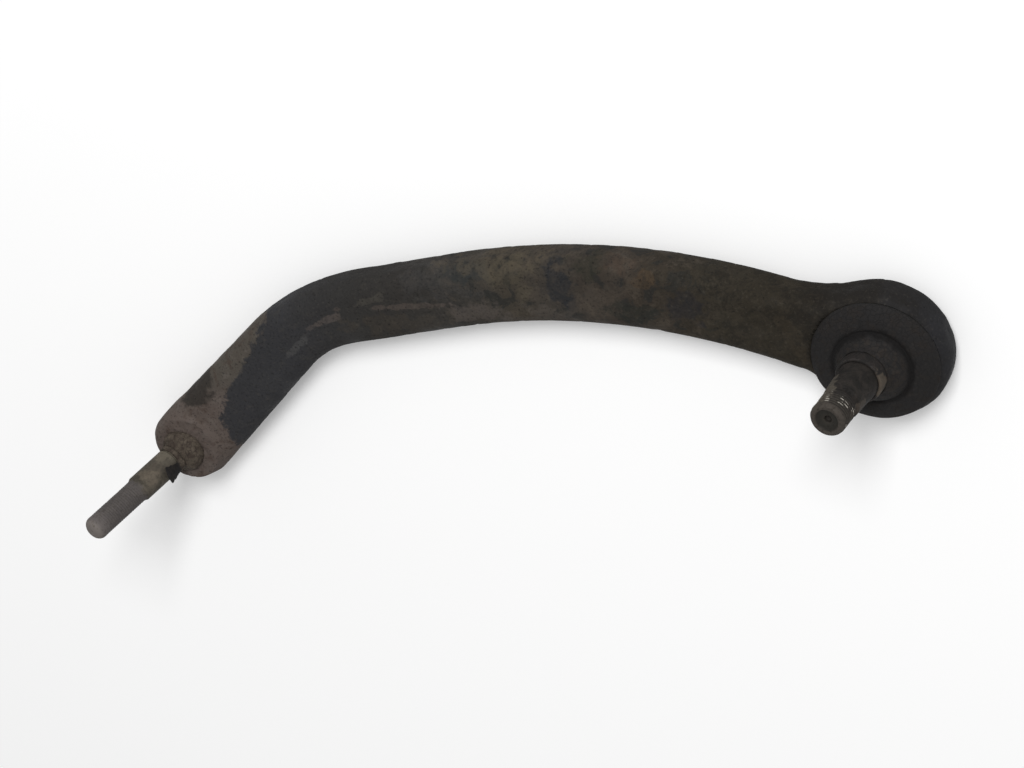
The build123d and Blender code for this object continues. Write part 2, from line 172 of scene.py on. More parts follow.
# %% Mesh from a grid
def piece(name, points, body, nodes=(), close=(False, True), sharp=35.0):
    """Quads between neighbours of a grid (rows, columns, xyz in mm), merged and closed."""
    rows, columns = points.shape[:2]
    index = np.arange(rows * columns).reshape(rows, columns)
    if close[0]:
        index = np.vstack([index, index[:1]])
    if close[1]:
        index = np.hstack([index, index[:, :1]])
    quads = np.stack(
        [index[:-1, :-1], index[1:, :-1], index[1:, 1:], index[:-1, 1:]], axis=-1
    ).reshape(-1, 4)
    mesh = bpy.data.meshes.new(name)
    mesh.from_pydata((points.reshape(-1, 3) * MM).tolist(), [], quads.tolist())
    obj = bpy.data.objects.new(name, mesh)
    bpy.context.collection.objects.link(obj)
    tidy_mesh(mesh, sharp)
    if body:
        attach(obj, body)
    if nodes:
        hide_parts(*nodes)
    return obj


def tidy_mesh(mesh, sharp):
    """Merges equal points, turns the faces outwards, and keeps edges over an angle sharp."""
    work = bmesh.new()
    work.from_mesh(mesh)
    bmesh.ops.remove_doubles(work, verts=work.verts, dist=2e-6)
    bmesh.ops.dissolve_degenerate(work, edges=work.edges, dist=1e-7)
    bmesh.ops.recalc_face_normals(work, faces=work.faces)
    if work.calc_volume(signed=True) < 0.0:
        bmesh.ops.reverse_faces(work, faces=work.faces)
    open_edges = sum(1 for edge in work.edges if len(edge.link_faces) != 2)
    volume = work.calc_volume(signed=True) * 1e9
    work.to_mesh(mesh)
    work.free()
    mesh.polygons.foreach_set("use_smooth", np.ones(len(mesh.polygons), bool))
    mesh.set_sharp_from_angle(angle=math.radians(sharp))
    print(f"{mesh.name}: {len(mesh.polygons)} faces, {volume:.0f} mm3, {open_edges} open edges")


def turned(profile, centre, axis, steps, ripple=None):
    """Lathe: profile rows are (radius, length along the axis).

    Where it is given, ripple(angle, profile) is added to the radius.
    """
    side, ahead = across(axis)
    angle = np.linspace(0.0, 2.0 * math.pi, steps, endpoint=False)[:, None]
    radius = np.broadcast_to(profile[:, 0], (steps, len(profile)))
    if ripple is not None:
        radius = radius + ripple(angle, profile)
    direction = np.cos(angle)[..., None] * side + np.sin(angle)[..., None] * ahead
    return centre + radius[..., None] * direction + profile[None, :, 1, None] * axis


# %% [markdown]
# ## The forging
# The arm is one bar: its plan has three straight runs with a tight bend and a long arch,
# and it ends in a round head. Its edges are rounded by 9 mm, as a forging leaves its die.
# It could be a box with bevels, but then the barrel and the head would meet the bar in hard
# lines. Here the plan's two long sides are lines of points in pairs, and one closed section
# is carried from pair to pair. At both ends the sides meet, and the skin closes itself.

# %% Sizes of the arm
JOINT_DISTANCE = 356.0
THICKNESS = 23.0
EDGE_ROUND = 9.0
HEAD_RADIUS = 31.7
BAR_WIDTH, BARREL_WIDTH, ROOT_WIDTH = 33.0, 39.5, 39.0
SHORT_RUN, SHORT_BEARING = 106.4, 32.4
MIDDLE_RUN, MIDDLE_BEARING = 154.4, 0.6
BARREL_REACH = 16.5
OUTER_CENTRE = np.array([0.0, 0.0, 17.0])
INNER_CENTRE = np.array([-JOINT_DISTANCE, 0.0, 16.687])
OUTER_STUD_AXIS = leaning(7.6, 155.0)
SOCKET_AXIS = leaning(12.0, 192.0)
INNER_AXIS = leaning(22.0, 192.0)
UP = np.array([0.0, 0.0, 1.0])
print("outer stud points along", OUTER_STUD_AXIS.round(3), "and inner", INNER_AXIS.round(3))


# %% Plan of the arm
def plan_run(bearing):
    """Unit vector in plan, at a bearing in degrees from +X."""
    turn = math.radians(bearing)
    return np.array([math.cos(turn), math.sin(turn)])


plan_start = np.array([-JOINT_DISTANCE, -1.1])
run_1, run_2 = plan_run(SHORT_BEARING), plan_run(MIDDLE_BEARING)
corner_1 = plan_start + run_1 * SHORT_RUN
corner_2 = corner_1 + run_2 * MIDDLE_RUN
run_3 = -corner_2 / np.linalg.norm(corner_2)
end_pole = plan_start - run_1 * BARREL_REACH


def left_of(run):
    """Unit vector to the left of a run."""
    return np.array([-run[1], run[0]])


def bearing_of(way):
    """Bearing of a way in plan, in radians from +X."""
    return math.atan2(way[1], way[0])


def circle_arc(centre, radius, first, last, count):
    """Points of a circle between two bearings, the shorter way round."""
    sweep = (last - first + math.pi) % (2 * math.pi) - math.pi
    turn = first + np.linspace(0.0, sweep, count)
    return centre + radius * np.stack([np.cos(turn), np.sin(turn)], axis=1)


def plan_side(side, corner, bend_round, arch_round, root):
    """One long side, from the middle of the inner end to the far point of the head.

    Straight edges with arcs at the corners; then an arc of the root's radius that touches
    the edge and the head's circle; then that circle. It gives the parts between knots.
    """
    before, after = left_of(run_1) + left_of(run_2), left_of(run_2) + left_of(run_3)
    first = end_pole + left_of(run_1) * side * BARREL_WIDTH / 2
    second = corner_1 + before * (2 / (before @ before)) * side * BAR_WIDTH / 2
    third = corner_2 + after * (2 / (after @ after)) * side * BAR_WIDTH / 2
    last = left_of(run_3) * side * ROOT_WIDTH / 2
    along = (last - third) / np.linalg.norm(last - third)
    outward = left_of(along) * side
    off = last @ outward + root
    centre = outward * off - along * math.sqrt((HEAD_RADIUS + root) ** 2 - off**2)
    touch = centre - outward * root
    meet = centre * HEAD_RADIUS / (HEAD_RADIUS + root)
    edge, arcs = rounded(
        [end_pole, first, second, third, touch], [corner, bend_round, arch_round], step=0.25
    )
    hollow = circle_arc(centre, root, bearing_of(touch - centre), bearing_of(meet - centre), 40)
    head = circle_arc(0.0, HEAD_RADIUS, bearing_of(meet), bearing_of(run_3), 200)
    knots = [arcs[0][2], arcs[1][1], arcs[2][1]]
    cuts = [int(np.argmin(np.linalg.norm(edge - knot, axis=1))) for knot in knots]
    parts = np.split(edge, cuts)
    parts = [np.vstack([part, follow[:1]]) for part, follow in zip(parts, parts[1:])] + parts[-1:]
    return parts + [hollow, head]


def line_length(line):
    """Length of a line of points."""
    return np.linalg.norm(np.diff(line, axis=0), axis=1).sum()


far_side = plan_side(1, corner=10.0, bend_round=132.0, arch_round=318.4, root=60.0)
near_side = plan_side(-1, corner=16.0, bend_round=54.0, arch_round=285.4, root=8.0)
lengths = [(line_length(far) + line_length(near)) / 2 for far, near in zip(far_side, near_side)]
print("plan runs in mm:", [round(float(length), 1) for length in lengths])


# %% [markdown]
# ## The section, and the barrel that grows out of the bar
# The section is a flat top, two rounded edges, two low walls and a flat underside. The
# edges are round enough for light to roll over them. The barrel of the inner joint leans
# and stands proud of the bar. Two separate solids would cut each other in a hard line.
# Instead every point of the bar is carried out along its own normal until it leaves the
# barrel as well, and a smooth minimum of both distances leaves a fillet between them.


# %% Sides in pairs
def joined(parts_far, parts_near, spacing):
    """Both sides with the same number of points between their knots, so that they pair up."""
    sides = []
    for parts in (parts_far, parts_near):
        lines = []
        for part, length in zip(parts, lengths):
            count = max(4, int(length / spacing))
            lines.append(spaced(part, count=count + 1)[:-1])
        sides.append(np.vstack(lines + [parts[-1][-1:]]))
    return sides


def outward_of(side, sign):
    """Unit normals of a side, away from the bar: the tangent turned by a quarter."""
    tangent = np.gradient(side, axis=0)
    tangent /= np.linalg.norm(tangent, axis=1, keepdims=True)
    return sign * np.stack([-tangent[:, 1], tangent[:, 0]], axis=1)


# %% Barrel and fillet
BARREL_RADIUS, BARREL_TOP, BARREL_FOOT = 18.0, 11.5, 13.6
ROUND_ABOVE, ROUND_BELOW = 7.0, 3.0


def barrel_distance(points):
    """Distance to a leaning cylinder whose edges are rounded, more above than below."""
    rel = points - INNER_CENTRE
    height = rel @ SOCKET_AXIS
    radius = np.linalg.norm(rel - height[..., None] * SOCKET_AXIS, axis=-1)
    soft = np.where(height > 0.0, ROUND_ABOVE, ROUND_BELOW)
    out = radius - (BARREL_RADIUS - soft)
    over = np.where(height > 0.0, height - (BARREL_TOP - soft), -height - (BARREL_FOOT - soft))
    corner = np.hypot(np.maximum(out, 0.0), np.maximum(over, 0.0))
    return corner + np.minimum(np.maximum(out, over), 0.0) - soft


def smooth_least(a, b, width):
    """Smaller of two distances, blended over a width: the fillet where two forms meet."""
    share = np.clip(0.5 + 0.5 * (b - a) / width, 0.0, 1.0)
    return b * (1.0 - share) + a * share - width * share * (1.0 - share)


# %% Section of the arm
far_line, near_line = joined(far_side, near_side, spacing=0.8)
far_out, near_out = outward_of(far_line, 1.0), outward_of(near_line, -1.0)
far_out[0] = near_out[0] = -run_1
far_out[-1] = near_out[-1] = run_3

bend = np.linspace(0.0, math.pi / 2, 15)
round_in, round_up = EDGE_ROUND * (1 - np.sin(bend)), EDGE_ROUND * (1 - np.cos(bend))
wall = np.linspace(EDGE_ROUND, THICKNESS - EDGE_ROUND, 7)[1:-1]
inset = np.concatenate([round_in, 0 * wall, round_up])
height = np.concatenate([round_up, wall, THICKNESS - round_in])
rise = np.concatenate([-np.cos(bend), 0 * wall, np.sin(bend)])
spread = np.sqrt(1.0 - rise**2)
print(len(far_line), "sections, each with", len(inset), "points up either side")


def side_skin(line, out):
    """Rounded edges and wall of one side, from the underside up, with their normals."""
    plan = line[:, None] - out[:, None] * inset[None, :, None]
    level = np.broadcast_to(height, plan.shape[:2])
    normal = out[:, None] * spread[None, :, None]
    lift = np.broadcast_to(rise, plan.shape[:2])
    return np.dstack([plan, level]), np.dstack([normal, lift])


def deck(first, second, count, level):
    """Straight lines of points from one side to the other, at the top or the underside."""
    share = np.linspace(0.0, 1.0, count + 1)[1:-1][None, :, None]
    plan = first[:, None] * (1.0 - share) + second[:, None] * share
    return np.dstack([plan, np.full(plan.shape[:2], level)])


# %% Skin of the arm
DECK_POINTS = 38
FILLET, FARTHEST_PUSH, HALVINGS = 3.0, 12.0, 26
far_skin, far_normal = side_skin(far_line, far_out)
near_skin, near_normal = side_skin(near_line, near_out)
far_in, near_in = far_skin[:, -1, :2], near_skin[:, -1, :2]
top = deck(far_in, near_in, DECK_POINTS, THICKNESS)
under = deck(near_in, far_in, DECK_POINTS, 0.0)
skin = np.concatenate([far_skin, top, near_skin[:, ::-1], under], axis=1)
up_top, down_under = np.broadcast_to(UP, top.shape), np.broadcast_to(-UP, under.shape)
normals = np.concatenate([far_normal, up_top, near_normal[:, ::-1], down_under], axis=1)

low, high = np.zeros(skin.shape[:2]), np.full(skin.shape[:2], FARTHEST_PUSH)
for _ in range(HALVINGS):
    middle = (low + high) / 2
    from_barrel = barrel_distance(skin + normals * middle[..., None])
    reached = smooth_least(middle, from_barrel, FILLET) > 0
    high, low = np.where(reached, middle, high), np.where(reached, low, middle)
push = np.where(high < 1e-4, 0.0, high)
arm_points = skin + normals * push[..., None]
print("the barrel stands proud of the bar by up to", round(float(push.max()), 2), "mm")

# %% [markdown]
# ## Turned shoulder, packed dirt, dents and pits
# A lathe has cut a step round the head for the boot, and grit has packed into it. The rest
# of the skin is as the hammer and the years left it: shallow dents a few centimetres wide,
# scale marks of some millimetres, and pits. All of it goes inwards, so the part keeps
# its size. Waves that are wider than the grid go into the mesh, and finer ones are left
# to the material's bump.

# %% Shoulder and wear
SHOULDER_HEIGHT, BOSS_HEIGHT, BOSS_RADIUS = 21.0, 24.6, 21.0
from_head = np.hypot(arm_points[..., 0], arm_points[..., 1])
faces_up = smooth(0.2, 0.8, normals[..., 2])
grit = noise(arm_points, 1.6, 5) * noise(arm_points, 4.0, 6)
shoulder = SHOULDER_HEIGHT + (1.6 + 1.2 * grit) * smooth(28.0, 28.8, from_head)
step_in = smooth(29.2, 30.6, from_head + 0.8 * (noise(arm_points, 2.5, 7) - 0.5))
shoulder_top = shoulder + (THICKNESS - SHOULDER_HEIGHT) * step_in * 1.2
flat_top = np.minimum(arm_points[..., 2], shoulder_top)
boss = BOSS_HEIGHT * (1 - smooth(BOSS_RADIUS - 0.3, BOSS_RADIUS, from_head))
arm_points[..., 2] = np.where(faces_up > 0.3, np.maximum(flat_top, boss), arm_points[..., 2])

dents = 0.35 * noise(arm_points, 26.0, 1) + 0.16 * noise(arm_points, 8.0, 2)
scale_marks = 0.12 * smooth(0.52, 0.70, noise(arm_points, 4.5, 3))
pits = 0.22 * smooth(0.66, 0.86, noise(arm_points, 2.2, 4))
bare = smooth(32.0, 36.0, from_head)
machined = (1.0 - bare) * (arm_points[..., 2] > 20.5)
wear = (dents + scale_marks + pits) * (1.0 - machined)
arm_points = arm_points - normals * wear[..., None]
arm_points[..., 2] = np.maximum(arm_points[..., 2], 0.0)

ARM_SHARP = 50.0
arm = piece("arm_forging_skin", arm_points, None, sharp=ARM_SHARP)

# %% [markdown]
# ## Boring the sockets
# Both ball joints are put in from below: the bore has a step for the cover plate, a wide
# part for the seat and a narrower mouth where the stud comes out. A grid can't have a
# round hole in its middle, so two turned cutters are taken out of the skin with a Boolean,
# as the drill takes them out of the forging, and the modifier is then made real.


# %% Bores
def bored(obj, cutters, sharp):
    """Takes cutters out of a piece and keeps the result as the piece's own mesh."""
    for cutter in cutters:
        cut = obj.modifiers.new("bore", "BOOLEAN")
        cut.operation, cut.solver, cut.object = "DIFFERENCE", "EXACT", cutter
    bpy.context.view_layer.update()
    graph = bpy.context.evaluated_depsgraph_get()
    mesh = bpy.data.meshes.new_from_object(obj.evaluated_get(graph))
    obj.modifiers.clear()
    obj.data = mesh
    mesh.name = obj.name
    tidy_mesh(mesh, sharp)
    for cutter in cutters:
        bpy.data.objects.remove(cutter, do_unlink=True)


def bore(name, profile, centre, axis):
    """Closed turned cutter from a profile that starts and ends on the axis."""
    line = np.array(profile, float)
    return piece(name, turned(line, centre, axis, 96), None, close=(True, False))


outer_bore = bore(
    "outer_bore",
    [(0, -23), (14.7, -23), (15.3, -16.4), (17.55, -16.4), (17.55, -14.2), (14.55, -14.2)]
    + [(14.55, 6.2), (10.1, 6.2), (12.4, 8.4), (0, 8.4)],
    OUTER_CENTRE,
    UP,
)
inner_bore = bore(
    "inner_bore",
    [(0, -23), (12.4, -23), (12.4, -13.0), (14.65, -13.0), (14.65, -10.8), (12.45, -10.8)]
    + [(12.45, 5.5), (8.6, 5.5), (9.3, 9.8), (10.4, 11.2), (12.5, 12.6), (0, 12.6)],
    INNER_CENTRE,
    SOCKET_AXIS,
)
bored(arm, [outer_bore, inner_bore], ARM_SHARP)
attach(arm, "arm")
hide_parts("arm_forging")

# %% [markdown]
# ## The studs
# Both studs are turned: ball, neck, taper or shank, then a thread. A thread could be a
# stack of rings, but rings don't climb, and the eye sees it. Here the radius drops by the
# thread's depth wherever length / pitch minus angle / full turn is near a whole number,
# so the groove is one real helix that fades out at both ends. The crests are flattened
# and nicked, as they are on a joint that has been hammered out of its taper.


# %% Threads
def around(radius, angle, length):
    """Points round an upright axis, for a noise to read."""
    return np.dstack(np.broadcast_arrays(radius * np.cos(angle), radius * np.sin(angle), length))


def threaded(pitch, depth, start, end, fade, wear_seed):
    """Radius change of a worn helix: depth times a flattened triangle wave of the phase."""

    def ripple(angle, profile):
        length = profile[None, :, 1]
        phase = (length / pitch - angle / (2 * math.pi)) % 1.0
        groove = np.clip(1.45 * np.abs(2 * phase - 1) - 0.18, 0.0, 1.0)
        window = smooth(start, start + fade, length) * (1 - smooth(end - fade, end, length))
        outside = np.where(profile[None, :, 0] > 5.0, 1.0, 0.0)
        nick = 0.35 * smooth(0.62, 0.85, noise(around(12, angle, length), 2.4, wear_seed))
        return -outside * window * depth * ((1.0 - groove) + nick * groove)

    return ripple


def ball(radius, foot, neck):
    """Half outline of a ball, from its flat foot round to the neck."""
    first, last = math.asin(foot / radius), math.acos(neck / radius)
    turn = np.linspace(first, last, 60)
    return np.stack([radius * np.cos(turn), radius * np.sin(turn)], axis=1)


def stud_profile(ball_line, corners, radii, step):
    """Ball, then a turned outline with rounded corners, then in to the axis."""
    line, _ = rounded([ball_line[-1]] + corners, radii, step)
    base = spaced(np.vstack([[(0.0, ball_line[0, 1])], ball_line]), step=0.6)
    return np.vstack([base[:-1], line])


# %% Turned studs
outer_profile = stud_profile(
    ball(11.5, -9.43, 6.2),
    [(6.2, 10.5), (9.2, 13.8), (9.2, 23.2), (8.3, 40.5), (7.1, 41.1), (7.1, 42.7), (8.0, 43.8)]
    + [(8.0, 54.4), (6.6, 56.0), (5.5, 56.0), (4.6, 55.0), (1.7, 54.3), (1.3, 52.8), (0.0, 52.4)],
    [0.8, 0.6, 0.3, 0.25, 0.2, 0.3, 0.2, 0.8, 0.4, 0.4, 0.5, 0.2, 0.3],
    0.14,
)
outer_stud = piece(
    "outer_stud_turned",
    turned(
        outer_profile,
        OUTER_CENTRE,
        OUTER_STUD_AXIS,
        108,
        threaded(1.5, 0.46, 43.2, 55.0, 1.2, 21),
    ),
    "outer_stud",
    ["outer_ball_stud"],
    close=(True, False),
)

inner_profile = stud_profile(
    ball(10.0, -8.2, 5.9),
    [(5.9, 16.8), (6.6, 17.55), (6.6, 38.5), (5.85, 40.0), (5.85, 69.2), (3.4, 71.45), (0.0, 71.5)],
    [0.5, 0.5, 0.4, 0.4, 3.6, 4.0],
    0.16,
)
inner_stud = piece(
    "inner_stud_turned",
    turned(
        inner_profile,
        INNER_CENTRE,
        INNER_AXIS,
        96,
        threaded(1.25, 0.20, 40.2, 67.5, 3.4, 22),
    ),
    "inner_stud",
    ["inner_ball_stud"],
    close=(True, False),
)

# %% [markdown]
# ## The rubber boot
# The big boot is a low hat: a bead grips the boss, a skirt covers the clamp and stands on
# the shoulder, a flat dome runs in to a crease, and a neck like a piece of a sphere closes
# on the stud. The neck leans with the stud while the skirt stays level. So the outline is
# turned first, and then each point is rotated about the ball's centre by a share of the
# lean that grows from the crease to the neck.

# %% Outline of the boot
SPHERE_OUT, SPHERE_IN = 19.95, 18.6
RUBBER_SHARP = 70.0


def arc_line(radius, first, last, count=24):
    """Points of a circle about the ball's centre, by degrees from the axis."""
    turn = np.radians(np.linspace(first, last, count))
    return [(radius * math.sin(t), radius * math.cos(t)) for t in turn]


def lifted(points):
    """Heights over the underside made heights over the ball's centre."""
    return [(r, z - OUTER_CENTRE[2]) for r, z in points]


crease = math.degrees(math.asin(16.8 / SPHERE_OUT))
boot_skirt = lifted([(25.8, 21.5), (28.0, 21.45), (28.55, 21.7), (28.75, 22.4), (28.4, 23.1)])
boot_dome = lifted([(27.5, 23.85), (25.6, 24.95), (23.0, 26.05), (20.4, 26.75), (18.4, 26.95)])
boot_crease = lifted([(17.6, 26.75), (17.1, 26.85)])
boot_neck = arc_line(SPHERE_OUT, crease - 3.0, 39.0) + [(11.9, 16.75), (11.3, 16.9), (10.95, 16.5)]
boot_inside = arc_line(SPHERE_IN, 38.5, 62.0) + lifted([(19.5, 25.2), (21.3, 24.9), (21.3, 22.9)])
boot_bead = lifted([(21.15, 22.4), (21.3, 21.9), (21.4, 21.35), (23.5, 21.35), (23.7, 21.7)])
boot_roof = lifted([(23.7, 23.3), (23.9, 23.5), (25.5, 23.5), (25.75, 23.3)])
boot_loop = np.array(
    boot_skirt + boot_dome + boot_crease + boot_neck + boot_inside + boot_bead + boot_roof
)
boot_loop = spaced(np.vstack([boot_loop, boot_loop[:1]]), step=0.40)[:-1]
print(len(boot_loop), "points round the boot's outline")


# %% Boot
def boot_ripple(angle, profile):
    """Folds left by use: slow dents all over, and lumps of grime round the neck."""
    radius, level = profile[None, :, 0], profile[None, :, 1]
    spots = around(radius, angle, level)
    lumps = smooth(16.9, 16.0, radius) * smooth(7.0, 9.0, level)
    outside = smooth(18.9, 19.4, np.hypot(radius, level))
    folds = 0.26 * noise(spots, 7.0, 31) + (0.10 + 0.5 * lumps) * noise(spots, 2.4, 32)
    return -folds * outside


boot_points = turned(boot_loop, np.zeros(3), UP, 220, boot_ripple)
slope = np.degrees(np.arctan2(boot_loop[:, 0], boot_loop[:, 1]))
share = 1.0 - smooth(40.0, 58.0, slope)
lean_axis = np.cross(UP, OUTER_STUD_AXIS)
lean_angle = math.asin(np.linalg.norm(lean_axis))
lean_axis /= np.linalg.norm(lean_axis)


def rotated(points, axis, angle):
    """Points turned about an axis through zero, each by its own angle (Rodrigues)."""
    c, s = np.cos(angle)[..., None], np.sin(angle)[..., None]
    along = (points @ axis)[..., None] * axis
    return points * c + np.cross(np.broadcast_to(axis, points.shape), points) * s + along * (1 - c)


boot_points = OUTER_CENTRE + rotated(
    boot_points, lean_axis, np.broadcast_to(share * lean_angle, boot_points.shape[:2])
)
boot = piece(
    "outer_boot_rubber",
    boot_points,
    None,
    ["outer_dust_boot"],
    close=(True, True),
    sharp=RUBBER_SHARP,
)
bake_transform(boot)

# %% [markdown]
# ## Ring on the neck, and what is left of the small boot
# A steel ring holds the boot's neck on the taper. It is thin and rounded at its top, so a
# turned outline with small radii is enough. The inner boot is gone but for its bead and a
# torn flap beside the shank. A cut sheet would look cut: this flap is a thin lens-shaped
# section carried along the stud, whose width wanders with a noise and ends in a tatter.

# %% Ring and bead
ring_line, _ = rounded(
    [(9.95, 14.8), (9.25, 14.8), (9.25, 22.7), (10.65, 22.7), (10.65, 14.8), (9.95, 14.8)],
    [0.3, 0.35, 0.7, 0.3],
    0.15,
)
ring = piece(
    "outer_neck_ring_rolled",
    turned(ring_line[:-1], OUTER_CENTRE, OUTER_STUD_AXIS, 120),
    "outer_collar",
    ["outer_neck_ring"],
    close=(True, True),
)

bead_line, _ = rounded(
    [(6.6, 14.2), (5.95, 14.2), (5.95, 16.5), (7.25, 16.5), (7.25, 14.2), (6.6, 14.2)],
    [0.3, 0.3, 0.6, 0.5],
    0.15,
)
bead = piece(
    "inner_boot_bead_rubber",
    turned(bead_line[:-1], INNER_CENTRE, INNER_AXIS, 96),
    "inner_collar",
    ["inner_boot_scrap"],
    close=(True, True),
)

# %% Rag
FLAP_START, FLAP_LENGTH = 13.9, 13.3
flap_side, flap_ahead = across(INNER_AXIS)
flap_share = np.linspace(0.0, 1.0, 100)[:, None]
flap_length = FLAP_START + FLAP_LENGTH * flap_share
flap_turn = np.linspace(0.0, 2 * math.pi, 90, endpoint=False)[None, :]
tear = noise(flap_length * np.array([[[1.0, 0.0, 0.0]]]), 1.3, 41).T
flap_closing, flap_fraying = smooth(0.04, 0.0, flap_share), smooth(0.80, 1.0, flap_share)
flap_end = np.sqrt((1.0 - flap_fraying**2) * (1.0 - flap_closing**2))
flap_width = np.radians(27.0) * (1.25 - 0.50 * tear) * flap_end * smooth(-0.10, 0.10, flap_share)
flap_middle = np.radians(-100.0 - 7.0 * np.sin(5.0 * flap_share) + 8.0 * (tear - 0.5))
flap_angle = flap_middle + flap_width * np.cos(flap_turn)
flap_wall = 0.60 * flap_end * np.sin(flap_turn)
flap_radius = 7.35 + 2.4 * smooth(0.20, 1.0, flap_share) + flap_wall + 0.5 * (tear - 0.5) * flap_share
flap_way = np.cos(flap_angle)[..., None] * flap_side + np.sin(flap_angle)[..., None] * flap_ahead
flap_points = (
    INNER_CENTRE + flap_radius[..., None] * flap_way + flap_length[..., None] * INNER_AXIS
)
rag = piece(
    "inner_boot_rag_rubber",
    flap_points,
    "inner_collar",
    ["inner_boot_scrap"],
    sharp=RUBBER_SHARP,
)

# %% [markdown]
# ## Dirt in the small joint's mouth
# Where the small boot was, packed dirt closes the ring between the barrel's mouth and the
# stud's neck. A stiff ring would be cut by the neck when the stud swings. So the dirt is a
# collar that stands on the barrel's sloping face, and a thin low cone from there to the
# neck. The collar stays square to the barrel, the cone's inner edge square to the stud, and
# the blend across the joint bends what lies between.

# %% Dirt skin
dirt_loop = np.array(
    [(10.6, 5.0), (10.6, 8.0), (10.5, 9.8), (10.2, 11.0), (9.7, 11.6), (9.1, 11.9), (8.2, 12.2)]
    + [(7.2, 12.7), (6.3, 13.35), (5.8, 13.5), (5.8, 12.9), (6.9, 12.2), (8.2, 11.7), (9.0, 11.2)]
    + [(9.2, 10.0), (9.3, 5.0)]
)
dirt_loop = spaced(np.vstack([dirt_loop, dirt_loop[:1]]), step=0.25)[:-1]


def dirt_ripple(angle, profile):
    """Lumps of packed dirt, none at the neck."""
    spots = around(9, angle, profile[None, :, 1])
    return (noise(spots, 2.2, 51) - 0.5) * 0.7 * smooth(6.2, 8.0, profile[None, :, 0])


to_stud = smooth(9.4, 6.4, dirt_loop[:, 0])[None, :, None]
dirt_points = turned(dirt_loop, INNER_CENTRE, SOCKET_AXIS, 120, dirt_ripple) * (1.0 - to_stud)
dirt_points = dirt_points + turned(dirt_loop, INNER_CENTRE, INNER_AXIS, 120, dirt_ripple) * to_stud
dirt = piece(
    "inner_mouth_dirt_skin",
    dirt_points,
    None,
    close=(True, True),
    sharp=RUBBER_SHARP,
)
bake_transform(dirt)

# %% [markdown]
# ## Small words for materials
# Finishes here are sums: dark scale, plus rust where a noise is high, minus oil. Written as
# nodes by hand that is hard to read. A wrapper round a socket lets Python's own signs add
# the Math nodes, so a mask reads like its formula. Colours go through Mix nodes, because a
# Math node would turn them grey.


# %% Numbers over a surface
class Level:
    """A number that varies over the surface; signs between levels add Math nodes."""

    def __init__(self, finish, socket):
        self.finish, self.socket = finish, socket

    def math(self, operation, first, second, clamp=False):
        settings = {"operation": operation, "use_clamp": clamp}
        return self.finish.node("ShaderNodeMath", settings, {0: first, 1: second})

    def __add__(self, other):
        return self.math("ADD", self, other)

    def __sub__(self, other):
        return self.math("SUBTRACT", self, other)

    def __rsub__(self, other):
        return self.math("SUBTRACT", other, self)

    def __mul__(self, other):
        return self.math("MULTIPLY", self, other)

    def __truediv__(self, other):
        return self.math("DIVIDE", self, other)

    def clamped(self):
        return self.math("ADD", self, 0.0, clamp=True)

    __radd__, __rmul__ = __add__, __mul__


